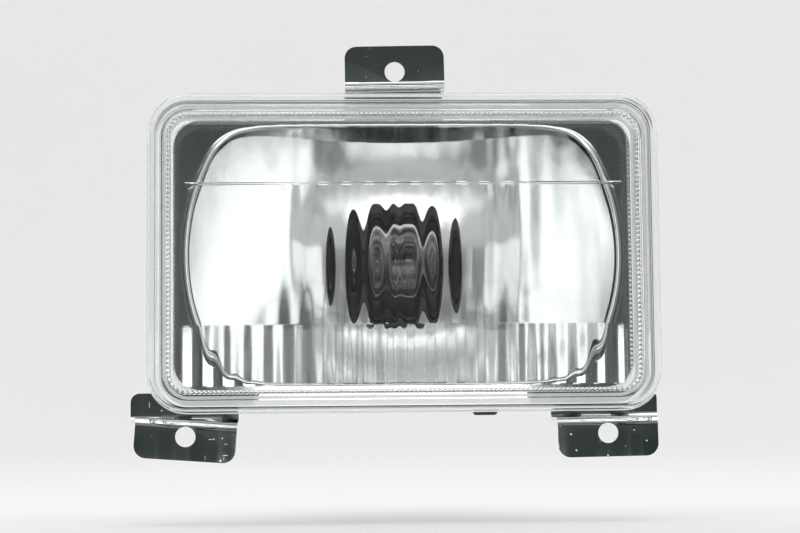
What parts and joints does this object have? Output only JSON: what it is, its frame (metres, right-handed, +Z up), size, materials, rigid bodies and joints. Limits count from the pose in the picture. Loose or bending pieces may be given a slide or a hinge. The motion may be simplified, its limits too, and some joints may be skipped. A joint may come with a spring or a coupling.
{
  "type": "fog light",
  "caption": "Rectangular fog lamp with a fluted clear lens, a mirrored parabolic reflector, plated steel mounting tabs, and a bayonet bulb in a twist-lock holder with a plug socket.",
  "frame": {"origin": "where the lamp's optical axis crosses the plane of the rear faces of the three bracket tabs", "axes": "+X to the right seen from in front of the lens, +Y backwards from the lens to the bulb holder, along the optical axis, +Z up"},
  "size_m": [0.1744, 0.1019, 0.1353],
  "materials": {
    "clear_plastic": "clear polished moulding with upright flutes inside",
    "adhesive": "set bonding adhesive",
    "mirror_plastic": "vacuum-metallised mirror inside, plain grey moulding outside",
    "chromed_steel": "bright plated pressed steel",
    "zinc_steel": "zinc-plated",
    "rubber": "matt moulded",
    "black_plastic": "fine-textured moulding",
    "bulb_glass": "clear blown glass",
    "brass": "plain stamped",
    "tinned_brass": "tin-plated",
    "tungsten": "drawn wire coil",
    "spring_steel": "drawn wire"
  },
  "bodies": {
    "lamp": {"lens": "clear_plastic", "lens_seal": "adhesive", "reflector": "mirror_plastic", "vent_cap": "rubber", "bracket_top": "chromed_steel", "bracket_left": "chromed_steel", "bracket_right": "chromed_steel", "bracket_screw_left_1": "zinc_steel", "bracket_screw_left_2": "zinc_steel", "bracket_screw_right_1": "zinc_steel", "bracket_screw_right_2": "zinc_steel", "bracket_screw_top_1": "zinc_steel", "bracket_screw_top_2": "zinc_steel"},
    "holder": {"holder_gasket": "rubber", "holder_body": "black_plastic", "socket_sleeve": "tinned_brass", "terminal_live": "brass", "terminal_earth": "brass", "plunger_spring": "spring_steel"},
    "plunger": {"contact_plunger": "brass", "plunger_disc": "black_plastic"},
    "bulb": {"bulb_glass": "bulb_glass", "bulb_stem": "bulb_glass", "bulb_filament": "tungsten", "filament_post_left": "spring_steel", "filament_post_right": "spring_steel", "bulb_base": "tinned_brass", "base_insulator": "black_plastic", "base_contact": "tinned_brass"}
  },
  "joints": [
    {"name": "holder_twist", "type": "hinge", "parent": "lamp", "child": "holder", "pos_m": [0, 0.06219, 0], "axis": [0, 1, 0], "range_deg": [0, 40]},
    {"name": "bulb_push", "type": "slide", "parent": "holder", "child": "bulb", "axis": [0, 1, 0], "range_m": [0, 0.0025], "stiffness_N_per_m": 1500, "springref_m": -0.002, "deforming": ["plunger_spring"]},
    {"name": "plunger_slide", "type": "slide", "parent": "holder", "child": "plunger", "axis": [0, 1, 0], "range_m": [0, 0.0025]}
  ],
  "couplings": [
    {"joint": "plunger_slide", "follows": "bulb_push", "ratio": 1}
  ]
}
